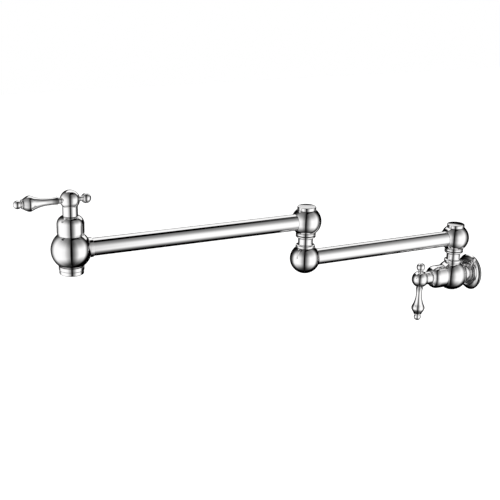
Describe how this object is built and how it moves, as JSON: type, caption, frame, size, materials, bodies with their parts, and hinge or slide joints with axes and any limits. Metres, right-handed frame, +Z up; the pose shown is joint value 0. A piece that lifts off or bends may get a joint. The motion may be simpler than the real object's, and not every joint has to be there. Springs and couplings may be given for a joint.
{
  "type": "wall mounted pot filler",
  "caption": "Tap on two folding arms for filling pots on a hob, with a quarter-turn valve at the wall and another at the spout.",
  "frame": {"origin": "on the wall plane, at the centre of the inlet's axis; the flange's foot lies in that plane", "axes": "+Z up, +Y into the wall along the inlet's axis; both arms reach out along -Y at rest"},
  "size_m": [0.0528, 0.6782, 0.2447],
  "materials": {
    "chrome": "polished",
    "brass": "machined",
    "rubber": "matte",
    "ceramic": "lapped",
    "acetal": "moulded",
    "dark_acetal": "moulded"
  },
  "bodies": {
    "wall_body": {"wall_flange": "chrome", "flange_seal": "rubber", "valve_body": "chrome", "wall_bonnet": "chrome", "wall_cartridge": "brass", "wall_cartridge_seal": "rubber", "wall_seat_disc": "ceramic", "wall_neck": "chrome", "wall_o_ring_lower": "rubber", "wall_o_ring_upper": "rubber", "wall_slip_washer": "dark_acetal", "wall_retaining_nut": "brass"},
    "wall_handle": {"wall_turning_disc": "ceramic", "wall_stem": "brass", "wall_stem_seal": "rubber", "wall_hub": "chrome", "wall_lever": "chrome", "wall_finial": "chrome"},
    "inner_arm": {"inner_ball": "chrome", "inner_cap": "chrome", "inner_cap_seal": "rubber", "inner_tube": "chrome", "elbow_base_ball": "chrome", "elbow_neck": "chrome", "elbow_o_ring_lower": "rubber", "elbow_o_ring_upper": "rubber", "elbow_slip_washer": "dark_acetal", "elbow_retaining_nut": "brass"},
    "outer_arm": {"elbow_top_ball": "chrome", "elbow_cap": "chrome", "elbow_cap_seal": "rubber", "outer_tube": "chrome", "spout_body": "chrome", "spout_bonnet": "chrome", "spout_cartridge": "brass", "spout_cartridge_seal": "rubber", "spout_seat_disc": "ceramic", "outlet_collar": "chrome", "aerator_shell": "chrome", "aerator_insert": "acetal", "aerator_gasket": "rubber"},
    "spout_handle": {"spout_turning_disc": "ceramic", "spout_stem": "brass", "spout_stem_seal": "rubber", "spout_hub": "chrome", "spout_lever": "chrome", "spout_finial": "chrome"}
  },
  "joints": [
    {"name": "wall_swivel", "type": "hinge", "parent": "wall_body", "child": "inner_arm", "pos_m": [0, -0.035, 0.056], "axis": [0, 0, 1], "range_deg": [-90, 90]},
    {"name": "elbow_swivel", "type": "hinge", "parent": "inner_arm", "child": "outer_arm", "pos_m": [0, -0.285, 0.108], "axis": [0, 0, 1], "continuous": true},
    {"name": "wall_valve_turn", "type": "hinge", "parent": "wall_body", "child": "wall_handle", "pos_m": [0, -0.091, 0], "axis": [0, -1, 0], "range_deg": [0, 90]},
    {"name": "spout_valve_turn", "type": "hinge", "parent": "outer_arm", "child": "spout_handle", "pos_m": [0, -0.61, 0.17], "axis": [0, 0, 1], "range_deg": [0, 90]}
  ]
}
